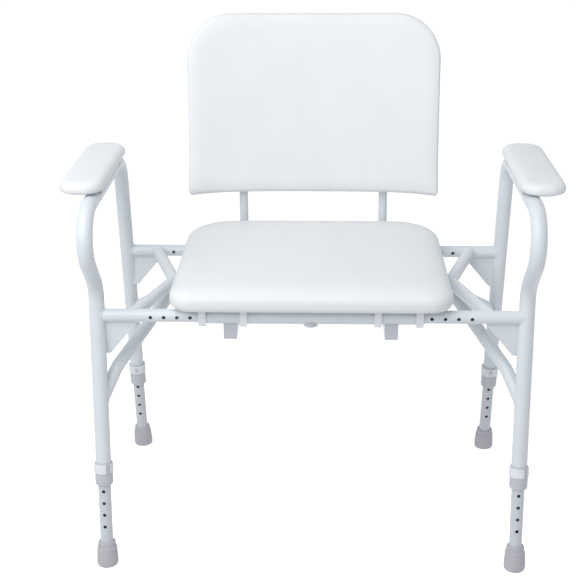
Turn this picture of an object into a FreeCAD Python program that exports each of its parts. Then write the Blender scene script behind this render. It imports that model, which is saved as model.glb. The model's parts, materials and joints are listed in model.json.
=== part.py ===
import FreeCAD, Part
import math
import os
import Sketcher

from FreeCAD import Placement, Rotation, Vector

# Width- and height-adjustable padded shower chair, in millimetres.
# +Z is up, the chair faces -Y, and the origin is on the floor under its middle.

DOC = FreeCAD.newDocument("shower_chair")
SHEET = DOC.addObject("Spreadsheet::Sheet", "Sizes")

DIMENSIONS = {
    # side frames
    "leg_half_spacing": 405, "half_depth": 185, "rail_height": 510, "leg_lean": 7.4,
    "side_tube": 30, "side_wall": 1.5, "side_tube_foot": 186,
    "arm_height": 728, "swan_corner_height": 565, "swan_angle": 42,
    "swan_bend": 60, "rear_bend": 60,
    # telescopic legs
    "leg_tube": 25, "leg_wall": 1.5, "leg_foot": 6, "leg_top": 262,
    "hole_pitch": 25, "hole_size": 7, "lowest_hole": 83, "leg_holes": 7, "rear_leg_rise": 7,
    # collars, spring bands and lock pins
    "collar_foot": 171, "collar_lip": 4, "collar_radius": 17.5, "guide_gap": 0.1,
    "band_foot": 196, "band_height": 19, "band_radius": 19, "band_seat": 17, "band_opening": 10,
    "pin_height": 208, "pin_radius": 3, "pin_gap": 0.4, "pin_stand_off": 0.3,
    "pin_head": 4.2, "pin_head_height": 2.2,
    # rubber feet
    "foot_radius": 21, "foot_height": 49,
    # telescopic rails
    "rail_tube": 30, "rail_wall": 2, "rail_half_length": 213,
    "stub_tube": 25, "stub_wall": 1.5, "stub_inner_end": 120, "stub_first_hole": 177, "stub_holes": 6,
    # braces and gussets
    "brace_tube": 25, "brace_wall": 1.5, "brace_root": 339, "brace_apex": 280,
    "knee_foot_height": 335, "knee_bend_height": 392, "knee_bend_reach": 53,
    "knee_top_height": 495, "knee_bend": 70,
    "gusset_thickness": 4, "gusset_foot": 432, "gusset_reach": 330, "gusset_tip": 11,
    # seat beams and backrest sockets
    "beam_spacing": 152, "beam_width": 25, "beam_height": 30, "beam_wall": 2, "beam_top": 497,
    "beam_front": -193, "beam_back": 240, "beam_cap": 3,
    "socket_tube": 25, "socket_bore": 20, "socket_foot": 462, "socket_top": 552,
    "post_tube": 19, "post_wall": 1.5, "post_foot": 470, "post_top": 905, "post_depth": 245,
    "post_bend_height": 621, "post_bend": 60,
    # seat
    "seat_width": 532, "seat_front": -225, "seat_back": 231, "seat_foot": 528, "seat_thickness": 46,
    "seat_front_corner": 50, "seat_back_corner": 95, "seat_edge": 14,
    "board_thickness": 8, "board_inset": 18,
    "clip_width": 14, "clip_half_depth": 18.5, "clip_foot": 494.5, "clip_gap": 0.3,
    "clip_inner": 126, "clip_outer": 204,
    # backrest
    "back_width": 534, "back_foot": 633, "back_height": 374, "back_thickness": 42, "back_lean": 11,
    "back_front": 204, "back_curve": 1200, "back_top_corner": 108, "back_foot_corner": 8,
    "low_screw": 70, "high_screw": 220,
    # armrests
    "arm_pad_centre": 423, "arm_pad_width": 80, "arm_pad_front": -189, "arm_pad_length": 320,
    "arm_pad_foot": 745, "arm_pad_thickness": 26, "arm_pad_corner": 38, "arm_pad_edge": 11,
    "arm_board_thickness": 5, "arm_board_inset": 7,
    "saddle_front": -130, "saddle_back": 75, "saddle_length": 30, "saddle_width": 34, "saddle_foot": 737,
    "screw_radius": 2.2, "screw_head": 4.6, "screw_head_height": 2.6,
}

for row, (alias, value) in enumerate(DIMENSIONS.items(), start=1):
    SHEET.set("A%d" % row, alias)
    SHEET.set("B%d" % row, str(value))
    SHEET.setAlias("B%d" % row, alias)
DOC.recompute()

X_AXIS = Vector(1, 0, 0)
Y_AXIS = Vector(0, 1, 0)
Z_AXIS = Vector(0, 0, 1)
SIDES = {"left": -1, "right": 1}
ENDS = {"front": -1, "rear": 1}
PARTS = {}


def size(expression):
    """The value of a dimension, or of an expression in dimensions, in millimetres."""
    result = SHEET.evalExpression(expression)
    return float(getattr(result, "Value", result))


def in_sheet(expression):
    """The same expression as another object of the document has to write it."""
    words = sorted(DIMENSIONS, key=len, reverse=True)
    for index, word in enumerate(words):
        expression = expression.replace(word, "@%d@" % index)
    for index, word in enumerate(words):
        expression = expression.replace("@%d@" % index, "Sizes." + word)
    return expression


def bind(thing, path, expression):
    thing.setExpression(path, in_sheet(expression))


def keep(label, thing):
    """Name a finished sub-part, which is exported under its label."""
    thing.Label = label
    PARTS[label] = thing
    return thing


# ---- Sketches -------------------------------------------------------------------------------

def new_body(name):
    return DOC.addObject("PartDesign::Body", name)


def origin_feature(body, role):
    return next(feature for feature in body.Origin.OriginFeatures if feature.Role == role)


def new_sketch(body, plane, offset=Placement()):
    sketch = body.newObject("Sketcher::SketchObject", body.Name + "_sketch")
    sketch.AttachmentSupport = [(origin_feature(body, plane), "")]
    sketch.MapMode = "FlatFace"
    sketch.AttachmentOffset = offset
    return sketch


def hold(sketch, kind, expression, *where):
    """A constraint whose value is an expression in the sheet's dimensions."""
    index = sketch.addConstraint(Sketcher.Constraint(kind, *where, size(expression)))
    bind(sketch, "Constraints[%d]" % index, expression)


def circle(sketch, radius, height="0"):
    """A circle on the sketch's vertical axis."""
    centre = Vector(0, size(height), 0)
    index = sketch.addGeometry(Part.Circle(centre, Z_AXIS, size(radius)))
    hold(sketch, "DistanceX", "0", -1, 1, index, 3)
    hold(sketch, "DistanceY", height, -1, 1, index, 3)
    hold(sketch, "Radius", radius, index)


def outline(sketch, points):
    """A closed outline of straight sides through points given as pairs of expressions."""
    corners = [Vector(size(x), size(y), 0) for x, y in points]
    first = None
    for start, end in zip(corners, corners[1:] + corners[:1]):
        index = sketch.addGeometry(Part.LineSegment(start, end))
        first = index if first is None else first
    count = len(points)
    for step in range(count):
        following = first + (step + 1) % count
        sketch.addConstraint(Sketcher.Constraint("Coincident", first + step, 2, following, 1))
    for step, (x, y) in enumerate(points):
        hold(sketch, "DistanceX", x, -1, 1, first + step, 1)
        hold(sketch, "DistanceY", y, -1, 1, first + step, 1)


def bent_path(sketch, points, bends):
    """Straight runs through the points, joined by tangent arcs of the given radii."""
    corners = [Vector(size(x), size(y), 0) for x, y in points]
    radii = [size(bend) for bend in bends]
    start = corners[0]
    last = None
    for before, corner, after, radius, bend in zip(corners, corners[1:], corners[2:], radii, bends):
        inward = (corner - before).normalize()
        outward = (after - corner).normalize()
        turn = inward.getAngle(outward)
        trim = radius * math.tan(turn / 2)
        entry = corner - inward * trim
        leave = corner + outward * trim
        middle = (outward - inward).normalize()
        centre = corner + middle * (radius / math.cos(turn / 2))
        run = sketch.addGeometry(Part.LineSegment(start, entry))
        arc = sketch.addGeometry(Part.Arc(entry, centre - middle * radius, leave))
        if last is not None:
            sketch.addConstraint(Sketcher.Constraint("Coincident", last[0], last[1], run, 1))
        ends = arc_ends(sketch, arc, entry)
        sketch.addConstraint(Sketcher.Constraint("Coincident", run, 2, arc, ends[0]))
        hold(sketch, "Radius", bend, arc)
        last = (arc, ends[1])
        start = leave
    run = sketch.addGeometry(Part.LineSegment(start, corners[-1]))
    sketch.addConstraint(Sketcher.Constraint("Coincident", last[0], last[1], run, 1))


def arc_ends(sketch, arc, entry):
    """The arc's point numbers in the order of travel: sketch arcs always run anticlockwise."""
    if sketch.getPoint(arc, 1).distanceToPoint(entry) < 1e-4:
        return 1, 2
    return 2, 1


# ---- Solids ---------------------------------------------------------------------------------

def pad(body, sketch, length, symmetric=False):
    feature = body.newObject("PartDesign::Pad", body.Name + "_pad")
    feature.Profile = sketch
    if symmetric:
        feature.SideType = "Symmetric"
    bind(feature, "Length", length)
    return feature


def tube(name, diameter, wall, length):
    """A round tube that stands on the origin along local +Z."""
    body = new_body(name)
    sketch = new_sketch(body, "XY_Plane")
    circle(sketch, diameter + " / 2")
    circle(sketch, "%s / 2 - %s" % (diameter, wall))
    pad(body, sketch, length)
    return body


def rod(name, radius, length):
    """A plain round bar along local +Z, used as a solid or as a cutter."""
    bar = DOC.addObject("Part::Cylinder", name)
    bind(bar, "Radius", radius)
    bind(bar, "Height", length)
    return bar


def block(name, width, depth, height):
    solid = DOC.addObject("Part::Box", name)
    bind(solid, "Length", width)
    bind(solid, "Width", depth)
    bind(solid, "Height", height)
    return solid


def bent_tube(name, plane, points, bends, diameter, wall):
    """A bent round tube along a path in one of the body's upright origin planes."""
    body = new_body(name)
    path = new_sketch(body, plane)
    bent_path(path, points, bends)
    start, following = [Vector(size(x), size(y), 0) for x, y in points[:2]]
    to_plane = origin_feature(body, plane).Placement.Rotation
    heading = to_plane.multVec(following - start)
    offset = Placement(to_plane.multVec(start), Rotation(Z_AXIS, heading))
    profile = new_sketch(body, "XY_Plane", offset)
    circle(profile, diameter + " / 2")
    circle(profile, "%s / 2 - %s" % (diameter, wall))
    pipe = body.newObject("PartDesign::AdditivePipe", name + "_pipe")
    pipe.Profile = profile
    pipe.Spine = (path, [])
    return body


def revolved(name, points):
    """A turned solid: the outline's points are (radius, height) about local Z."""
    body = new_body(name)
    sketch = new_sketch(body, "XZ_Plane")
    outline(sketch, points)
    feature = body.newObject("PartDesign::Revolution", name + "_turned")
    feature.Profile = sketch
    feature.ReferenceAxis = (origin_feature(body, "Z_Axis"), [""])
    feature.Angle = 360
    return body


def cross_holes(body, first, count):
    """A row of holes through both walls of a tube that lies along local Z."""
    DOC.recompute()
    sketch = new_sketch(body, "XZ_Plane")
    circle(sketch, "hole_size / 2", first)
    drill = body.newObject("PartDesign::Pocket", body.Name + "_hole")
    drill.Profile = sketch
    drill.Type = "ThroughAll"
    drill.SideType = "Symmetric"
    row_of_holes = body.newObject("PartDesign::LinearPattern", body.Name + "_holes")
    row_of_holes.Originals = [drill]
    row_of_holes.Direction = (origin_feature(body, "Z_Axis"), [""])
    bind(row_of_holes, "Length", "hole_pitch * (%s - 1)" % count)
    bind(row_of_holes, "Occurrences", count)
    body.Tip = row_of_holes


def fillet(body, radius, wanted):
    """Round every edge of the body so far for which wanted(edge) is true."""
    DOC.recompute()
    base = body.Tip
    names = []
    for number, edge in enumerate(base.Shape.Edges, start=1):
        if wanted(edge):
            names.append("Edge%d" % number)
    feature = body.newObject("PartDesign::Fillet", body.Name + "_fillet")
    feature.Base = (base, names)
    bind(feature, "Radius", radius)


def cut(base, *tools):
    """The base with each tool taken out of it."""
    for tool in tools:
        result = DOC.addObject("Part::Cut", base.Name + "_cut")
        result.Base = base
        result.Tool = tool
        base = result
    return base


def group(label, solids):
    """Identical or mirrored pieces that share one node as separate solids."""
    together = DOC.addObject("Part::Compound", label)
    together.Links = solids
    return keep(label, together)


def vertical(edge):
    direction = edge.Vertexes[-1].Point - edge.Vertexes[0].Point
    return len(edge.Vertexes) == 2 and abs(direction.z) > 0.99 * edge.Length


def aimed(start, direction):
    """Places local +Z along a direction, with its origin at start."""
    return Placement(start, Rotation(Z_AXIS, direction))


# ---- Telescopic legs ------------------------------------------------------------------------

def leg_frame(side, end, along=0):
    """Local +Z climbs the leg's axis from the floor, and local -Y faces the front."""
    lean = math.radians(size("leg_lean"))
    floor_depth = size("half_depth") + size("rail_height") * math.tan(lean)
    start = Vector(side * size("leg_half_spacing"), end * floor_depth, 0)
    rotation = Rotation(X_AXIS, end * size("leg_lean"))
    return Placement(start + rotation.multVec(Z_AXIS * along), rotation)


def rise(end):
    """The rear legs carry their collars and holes slightly higher."""
    return "rear_leg_rise" if end > 0 else "0"


def pin_direction(end):
    """Lock pins stand on the rear face of the front legs and on the front face of the rear legs."""
    return Y_AXIS * -end


def leg_cutter(side, end):
    """Clearance hole for a leg's lock pin, from the leg's axis outwards."""
    cutter = rod("pin_clearance", "pin_radius + pin_gap", "band_radius + 6")
    frame = leg_frame(side, end, size("pin_height + " + rise(end)))
    cutter.Placement = frame * aimed(Vector(), pin_direction(end))
    return cutter


def make_leg(side, end, name):
    leg = tube(name + "_leg_tube", "leg_tube", "leg_wall", "leg_top - leg_foot")
    cross_holes(leg, "lowest_hole - leg_foot + " + rise(end), "leg_holes")
    leg.Placement = leg_frame(side, end, size("leg_foot"))
    keep(name + "_leg_tube", leg)


def make_foot(side, end, name):
    """Rubber ferrule: a flared cup with a lip near its mouth, cut level with the floor."""
    below = "-4"
    cup = revolved(name + "_foot_cup", [
        ("0", below), ("foot_radius - 3.4", below), ("foot_radius - 1.2", "0"),
        ("foot_radius - 0.3", "2.5"), ("foot_radius", "6"), ("foot_radius - 0.2", "14"),
        ("foot_radius - 1.4", "foot_height - 13"), ("foot_radius - 2.2", "foot_height - 11.6"),
        ("foot_radius - 2.9", "foot_height - 11.2"), ("foot_radius - 3.1", "foot_height - 9"),
        ("foot_radius - 3.8", "foot_height - 2"), ("foot_radius - 4.6", "foot_height - 0.4"),
        ("foot_radius - 5.4", "foot_height"), ("leg_tube / 2", "foot_height"),
        ("leg_tube / 2", "leg_foot"), ("0", "leg_foot")])
    cup.Placement = leg_frame(side, end)
    floor = block("below_floor", "60", "60", "20")
    floor.Placement.Base = cup.Placement.Base + Vector(-30, -30, -20)
    keep(name + "_foot", cut(cup, floor))


def make_collar(side, end, name):
    """Plastic collar: it seats the side tube's end and guides the sliding leg below it."""
    foot = "collar_foot"
    seat = "side_tube_foot + " + rise(end)
    band = "band_foot + " + rise(end)
    top = band + " + band_height + collar_lip"
    guide = "leg_tube / 2 + guide_gap"
    collar = revolved(name + "_collar_turned", [
        (guide, foot), ("collar_radius - 2", foot), ("collar_radius - 0.5", foot + " + 1.2"),
        ("collar_radius", foot + " + 4"), ("collar_radius", band), ("band_seat", band),
        ("band_seat", band + " + band_height"), ("collar_radius - 0.6", band + " + band_height"),
        ("collar_radius - 0.9", top + " - 3"), ("side_tube / 2 + 0.6", top),
        ("side_tube / 2", top), ("side_tube / 2", seat), (guide, seat)])
    collar.Placement = leg_frame(side, end)
    keep(name + "_collar", cut(collar, leg_cutter(side, end)))


def make_band(side, end):
    """Split spring band round the collar, through which the lock pin's head shows."""
    band = new_body("band")
    sketch = new_sketch(band, "XY_Plane")
    circle(sketch, "band_radius")
    circle(sketch, "band_seat")
    pad(band, sketch, "band_height")
    fillet(band, "1", lambda edge: abs(edge.Length - 2 * math.pi * size("band_radius")) < 0.1)
    band.Placement = leg_frame(side, end, size("band_foot + " + rise(end)))
    opening = block("band_gap", "band_opening", "30", "40")
    opening_angle = -140 if end < 0 else 0
    turn = Rotation(Z_AXIS, opening_angle)
    opening.Placement = leg_frame(side, end, size("pin_height") - 20) * Placement(Vector(), turn)
    opening.Placement = opening.Placement * Placement(Vector(-size("band_opening") / 2, 2, 0), Rotation())
    return cut(band, opening, leg_cutter(side, end))


def lock_pin(name, head_start):
    """A round pin from just clear of the inner tube to a domed head, along local +Z."""
    return revolved(name, [
        ("0", "leg_tube / 2 + pin_stand_off"), ("pin_radius", "leg_tube / 2 + pin_stand_off"),
        ("pin_radius", head_start), ("pin_head", head_start),
        ("pin_head", head_start + " + pin_head_height / 2"),
        ("pin_head * 0.75", head_start + " + pin_head_height * 0.88"),
        ("0", head_start + " + pin_head_height")])


# ---- Side frames ----------------------------------------------------------------------------

def make_side_tube(side, name):
    """One tube: front leg, swan neck, arm, rear bend and rear leg."""
    front_floor = "-(half_depth + rail_height * tan(leg_lean * 1 deg))"
    front_foot = ("%s + side_tube_foot * sin(leg_lean * 1 deg)" % front_floor,
                  "side_tube_foot * cos(leg_lean * 1 deg)")
    swan_low = ("-half_depth + (swan_corner_height - rail_height) * tan(leg_lean * 1 deg)",
                "swan_corner_height")
    swan_high = ("%s - (arm_height - swan_corner_height) * tan(swan_angle * 1 deg)" % swan_low[0],
                 "arm_height")
    rear_high = ("half_depth - (arm_height - rail_height) * tan(leg_lean * 1 deg)", "arm_height")
    rear_length = "(side_tube_foot + rear_leg_rise)"
    rear_foot = ("-(%s) - %s * sin(leg_lean * 1 deg)" % (front_floor, rear_length),
                 "%s * cos(leg_lean * 1 deg)" % rear_length)
    bent = bent_tube(name + "_side_bent", "YZ_Plane",
                     [front_foot, swan_low, swan_high, rear_high, rear_foot],
                     ["swan_bend", "swan_bend", "rear_bend"], "side_tube", "side_wall")
    bent.Placement.Base = Vector(side * size("leg_half_spacing"), 0, 0)
    keep(name + "_side_tube", cut(bent, leg_cutter(side, -1), leg_cutter(side, 1)))


def leg_envelope(side, end):
    """The outside of a leg's tube, as a cutter for what is welded to it."""
    envelope = rod("leg_envelope", "side_tube / 2", "300")
    envelope.Placement = leg_frame(side, end, 300)
    return envelope


def stub_envelope(side, end):
    envelope = rod("stub_envelope", "stub_tube / 2", "leg_half_spacing - stub_inner_end")
    envelope.Placement = stub_frame(side, end)
    return envelope


def stub_frame(side, end):
    start = Vector(side * size("stub_inner_end"), end * size("half_depth"), size("rail_height"))
    return aimed(start, X_AXIS * side)


def make_stub(side, end, name):
    """Perforated tube that slides in the centre rail, welded square to the leg."""
    stub = tube(name + "_stub_tube", "stub_tube", "stub_wall", "leg_half_spacing - stub_inner_end")
    cross_holes(stub, "stub_first_hole - stub_inner_end", "stub_holes")
    stub.Placement = stub_frame(side, end)
    keep(name + "_rail_stub", cut(stub, leg_envelope(side, end)))


def beyond_middle(end):
    """Everything past the chair's fore-aft middle, which mitres the braces at their apex."""
    half = block("far_half", "1000", "400", "400")
    half.Placement.Base = Vector(-500, 0 if end < 0 else -400, 300)
    return half


def v_brace(side, end, cutter=False):
    """Level brace from a stub to the apex at mid depth; as a cutter it is solid."""
    root = Vector(side * size("brace_root"), end * size("half_depth"), size("rail_height"))
    apex = Vector(side * size("brace_apex"), 0, size("rail_height"))
    direction = apex - root
    past_apex = "sqrt((brace_root - brace_apex)^2 + half_depth^2) + 20"
    if cutter:
        brace = rod("brace_envelope", "brace_tube / 2", past_apex)
    else:
        brace = tube("v_brace", "brace_tube", "brace_wall", past_apex)
    brace.Placement = aimed(root, direction)
    return brace


def knee_brace(side, end):
    """Bent brace from low on a leg up to the apex under the level braces."""
    lean = math.tan(math.radians(size("leg_lean")))
    depth = size("half_depth") + (size("rail_height") - size("knee_foot_height")) * lean
    foot = Vector(side * size("leg_half_spacing"), end * depth, 0)
    level = Vector(side * size("brace_apex"), 0, 0) - foot
    reach = "sqrt((leg_half_spacing - brace_apex)^2 + "
    reach += "(half_depth + (rail_height - knee_foot_height) * tan(leg_lean * 1 deg))^2)"
    slope = "((knee_top_height - knee_bend_height) / (%s - knee_bend_reach))" % reach
    beyond = "20"
    brace = bent_tube("knee_brace", "XZ_Plane",
                      [("0", "knee_foot_height"), ("knee_bend_reach", "knee_bend_height"),
                       ("%s + %s" % (reach, beyond), "knee_top_height + %s * %s" % (beyond, slope))],
                      ["knee_bend"], "brace_tube", "brace_wall")
    brace.Placement = Placement(foot, Rotation(X_AXIS, level))
    return cut(brace, leg_envelope(side, end), beyond_middle(end),
               v_brace(side, -1, cutter=True), v_brace(side, 1, cutter=True))


def gusset(side, end):
    """Corner plate between a leg and the underside of its stub."""
    body = new_body("gusset")
    sketch = new_sketch(body, "XZ_Plane")
    outline(sketch, [
        ("gusset_reach", "rail_height"), ("leg_half_spacing", "rail_height"),
        ("leg_half_spacing", "gusset_foot"),
        ("leg_half_spacing - side_tube / 2 - gusset_tip + 4", "gusset_foot"),
        ("gusset_reach", "rail_height - stub_tube / 2 - 2")])
    pad(body, sketch, "gusset_thickness", symmetric=True)
    turn = Rotation(Z_AXIS, 0 if side > 0 else 180)
    body.Placement = Placement(Vector(0, end * size("half_depth"), 0), turn)
    return cut(body, leg_envelope(side, end), stub_envelope(side, end))


# ---- Armrests -------------------------------------------------------------------------------

def slab(name, width, length, thickness, corners):
    """A board or pad: centred in X, from local Y zero backwards, with rounded corners.

    corners gives the front and the back corner radius.
    """
    body = new_body(name)
    sketch = new_sketch(body, "XY_Plane")
    half = "(%s) / 2" % width
    outline(sketch, [("-" + half, "0"), (half, "0"), (half, length), ("-" + half, length)])
    pad(body, sketch, thickness)
    middle = size(length) / 2
    fillet(body, corners[0], lambda edge: vertical(edge) and edge.CenterOfMass.y < middle)
    fillet(body, corners[1], lambda edge: sharp_back(edge, size(length)))
    return body


def sharp_back(edge, length):
    return vertical(edge) and abs(edge.CenterOfMass.y - length) < 0.01


def flat_edge(edge, height):
    box = edge.BoundBox
    return abs(box.ZMin - height) < 1e-3 and abs(box.ZMax - height) < 1e-3


def make_armrest(side, name):
    centre = side * size("arm_pad_centre")
    foot = size("arm_pad_foot")
    board = slab(name + "_arm_board", "arm_pad_width - 2 * arm_board_inset",
                 "arm_pad_length - 2 * arm_board_inset", "arm_board_thickness",
                 ["arm_pad_corner - arm_board_inset", "arm_pad_corner - arm_board_inset"])
    board.Placement.Base = Vector(centre, size("arm_pad_front + arm_board_inset"), foot)
    keep(name + "_arm_board", board)

    cushion = slab(name + "_arm_cushion", "arm_pad_width", "arm_pad_length", "arm_pad_thickness",
                   ["arm_pad_corner", "arm_pad_corner"])
    top = size("arm_pad_thickness")
    fillet(cushion, "arm_pad_edge", lambda edge: flat_edge(edge, top))
    cushion.Placement.Base = Vector(centre, size("arm_pad_front"), foot)
    keep(name + "_arm_pad", cut(cushion, board))

    arm = rod("arm_envelope", "side_tube / 2", "400")
    arm_start = Vector(side * size("leg_half_spacing"), -200, size("arm_height"))
    arm.Placement = aimed(arm_start, Y_AXIS)
    saddles = []
    screws = []
    for depth in ("saddle_front", "saddle_back"):
        saddle = block("saddle", "saddle_width", "saddle_length", "arm_pad_foot - saddle_foot")
        saddle.Placement.Base = Vector(side * size("leg_half_spacing") - size("saddle_width / 2"),
                                       size(depth + " - saddle_length / 2"), size("saddle_foot"))
        saddles.append(cut(saddle, arm))
        length = "arm_pad_foot + arm_board_thickness - 1 - (arm_height - side_tube / 2)"
        screws.append(screw(Vector(side * size("leg_half_spacing"), size(depth),
                                   size("arm_height - side_tube / 2")), Z_AXIS, length))
    group(name + "_arm_saddles", saddles)
    group(name + "_arm_screws", screws)


def screw(start, direction, length):
    """A round-headed screw: its head sits just behind start and its shank runs on from it."""
    body = revolved("screw", [
        ("0", "-screw_head_height"), ("screw_head * 0.7", "-screw_head_height"),
        ("screw_head", "-screw_head_height * 0.45"), ("screw_head", "0"),
        ("screw_radius", "0"), ("screw_radius", length), ("0", length)])
    body.Placement = aimed(start, direction)
    return body


# ---- Centre frame ---------------------------------------------------------------------------

def rail_envelope(end):
    envelope = rod("rail_envelope", "rail_tube / 2", "2 * rail_half_length")
    envelope.Placement = rail_frame(end)
    return envelope


def rail_frame(end):
    start = Vector(-size("rail_half_length"), end * size("half_depth"), size("rail_height"))
    return aimed(start, X_AXIS)


def rail_pin_frame(side, end):
    """Width lock pins point backwards out of the rails."""
    start = Vector(side * size("stub_first_hole"), end * size("half_depth"), size("rail_height"))
    return aimed(start, Y_AXIS)


def make_rail(end, name):
    rail = tube(name + "_rail_tube", "rail_tube", "rail_wall", "2 * rail_half_length")
    rail.Placement = rail_frame(end)
    clearances = []
    for side in SIDES.values():
        cutter = rod("rail_pin_clearance", "pin_radius + pin_gap", "rail_tube / 2 + 5")
        cutter.Placement = rail_pin_frame(side, end)
        clearances.append(cutter)
    keep(name + "_centre_rail", cut(rail, *clearances))


def make_beam(side, name):
    """Rectangular tube slung under both rails; it carries the backrest socket at its back."""
    body = new_body(name + "_beam_tube")
    sketch = new_sketch(body, "XZ_Plane")
    outline(sketch, beam_section("0"))
    outline(sketch, beam_section("beam_wall"))
    pad(body, sketch, "beam_back - beam_front")
    depth = size("beam_back")
    body.Placement.Base = Vector(side * size("beam_spacing"), depth, size("beam_top - beam_height"))
    keep(name + "_seat_beam", cut(body, rail_envelope(-1), rail_envelope(1), socket_envelope(side)))


def beam_section(inset):
    half = "beam_width / 2 - " + inset
    top = "beam_height - " + inset
    return [("-(%s)" % half, inset), (half, inset), (half, top), ("-(%s)" % half, top)]


def socket_envelope(side):
    envelope = rod("socket_envelope", "socket_tube / 2", "socket_top - socket_foot")
    envelope.Placement.Base = socket_foot(side)
    return envelope


def socket_foot(side):
    return Vector(side * size("beam_spacing"), size("post_depth"), size("socket_foot"))


def make_beam_caps():
    """Plastic caps that close the beams' front ends."""
    caps = []
    for side in SIDES.values():
        cap = block("beam_cap", "beam_width", "beam_cap", "beam_height")
        cap.Placement.Base = Vector(side * size("beam_spacing") - size("beam_width / 2"),
                                    size("beam_front - beam_cap"), size("beam_top - beam_height"))
        caps.append(cut(cap, rail_envelope(-1)))
    group("beam_end_caps", caps)


def make_sockets():
    sockets = []
    for side in SIDES.values():
        socket = tube("post_socket", "socket_tube", "(socket_tube - socket_bore) / 2",
                      "socket_top - socket_foot")
        socket.Placement.Base = socket_foot(side)
        sockets.append(socket)
    group("backrest_sockets", sockets)


def make_drain_plug():
    """Low plug in the drain hole under the middle of the front rail."""
    plug = revolved("drain_plug_dome", [
        ("0", "-5"), ("9", "-4.6"), ("12.5", "-3.2"), ("14", "-0.8"), ("14", "6"), ("0", "6")])
    plug.Placement.Base = Vector(0, -size("half_depth"), size("rail_height - rail_tube / 2"))
    keep("rail_drain_plug", cut(plug, rail_envelope(-1)))


# ---- Seat -----------------------------------------------------------------------------------

def clip(side, end, across):
    """Channel-shaped clip that drops over a centre rail."""
    body = new_body("clip")
    sketch = new_sketch(body, "YZ_Plane")
    half = "clip_half_depth"
    slot = "rail_tube / 2 + clip_gap"
    foot = "clip_foot - rail_height"
    toe = foot + " + 3"
    outline(sketch, [
        (half, "seat_foot - rail_height"), ("-" + half, "seat_foot - rail_height"),
        ("-" + half, toe), ("-%s + 1" % half, foot + " + 0.8"), ("-(%s) - 0.6" % slot, foot),
        ("-(%s)" % slot, toe), ("-(%s)" % slot, slot), (slot, slot),
        (slot, toe), (slot + " + 0.6", foot), (half + " - 1", foot + " + 0.8"), (half, toe)])
    pad(body, sketch, "clip_width", symmetric=True)
    body.Placement.Base = Vector(side * size(across), end * size("half_depth"), size("rail_height"))
    return body


def make_seat():
    inset = " - 2 * board_inset"
    board = slab("seat_board", "seat_width" + inset, "seat_back - seat_front" + inset,
                 "board_thickness",
                 ["seat_front_corner - board_inset", "seat_back_corner - board_inset"])
    board.Placement.Base = Vector(0, size("seat_front + board_inset"), size("seat_foot"))
    keep("seat_board", board)

    cushion = slab("seat_cushion", "seat_width", "seat_back - seat_front", "seat_thickness",
                   ["seat_front_corner", "seat_back_corner"])
    for height in (0, size("seat_thickness")):
        fillet(cushion, "seat_edge", lambda edge: flat_edge(edge, height))
    cushion.Placement.Base = Vector(0, size("seat_front"), size("seat_foot"))
    keep("seat_pad", cut(cushion, board))

    clips = []
    screws = []
    for end in ENDS.values():
        for side in SIDES.values():
            for across in ("clip_inner", "clip_outer"):
                clips.append(clip(side, end, across))
                start = Vector(side * size(across), end * size("half_depth"),
                               size("rail_height + rail_tube / 2 + clip_gap"))
                pin = rod("clip_screw", "screw_radius", "seat_foot + board_thickness - 1 - "
                          "(rail_height + rail_tube / 2 + clip_gap)")
                pin.Placement.Base = start
                screws.append(pin)
    group("seat_clips", clips)
    group("seat_clip_screws", screws)


# ---- Backrest -------------------------------------------------------------------------------

def back_frame():
    """The leaning backrest's own frame: its origin is the foot of the front face, at the middle."""
    start = Vector(0, size("back_front"), size("back_foot"))
    return Placement(start, Rotation(X_AXIS, -size("back_lean")))


def curved_panel(name, front, back, inset, top_corner, foot_corner):
    """A panel, hollow towards the sitter, between two concentric arcs in the backrest's frame.

    front and back are the depths of its faces at the middle, and inset draws its outline in.
    """
    width = "back_width - 2 * " + inset
    height = "back_height - 2 * " + inset
    body = new_body(name)
    sketch = new_sketch(body, "XY_Plane")
    centre = -size("back_curve")
    faces = []
    for depth in (front, back):
        radius = size(depth) - centre
        angle = math.asin(size(width) / 2 / radius)
        ends = [Vector(side * radius * math.sin(angle), centre + radius * math.cos(angle), 0)
                for side in (-1, 1)]
        arc = sketch.addGeometry(Part.Arc(ends[0], Vector(0, centre + radius, 0), ends[1]))
        hold(sketch, "Radius", "%s + back_curve" % depth, arc)
        faces.append((arc, ends))
    for number in (0, 1):
        sketch.addGeometry(Part.LineSegment(faces[0][1][number], faces[1][1][number]))
    for arc, side_of_arc in ((0, 2), (1, 2)):
        sketch.addConstraint(Sketcher.Constraint("Coincident", arc, side_of_arc, 2, arc + 1))
    for arc, side_of_arc in ((0, 1), (1, 1)):
        sketch.addConstraint(Sketcher.Constraint("Coincident", arc, side_of_arc, 3, arc + 1))
    pad(body, sketch, height)
    body.Placement = back_frame() * Placement(Vector(0, 0, size(inset)), Rotation())

    face = block(name + "_face", width, "4 * back_thickness", height)
    DOC.recompute()
    rounded = DOC.addObject("Part::Fillet", name + "_rounded_face")
    rounded.Base = face
    rounded.Edges = [(number, radius, radius) for number, radius
                     in face_corners(face, size(top_corner), size(foot_corner))]
    corner = Vector(-size(width) / 2, -2 * size("back_thickness"), size(inset))
    rounded.Placement = back_frame() * Placement(corner, Rotation())
    panel = DOC.addObject("Part::Common", name + "_common")
    panel.Base = body
    panel.Tool = rounded
    return panel


def face_corners(face, top_radius, foot_radius):
    """The numbers of a block's four fore-aft edges, each with its corner radius."""
    middle = face.Shape.BoundBox.Center.z
    for number, edge in enumerate(face.Shape.Edges, start=1):
        if edge.BoundBox.YLength > edge.Length - 0.01:
            yield number, top_radius if edge.CenterOfMass.z > middle else foot_radius


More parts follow.
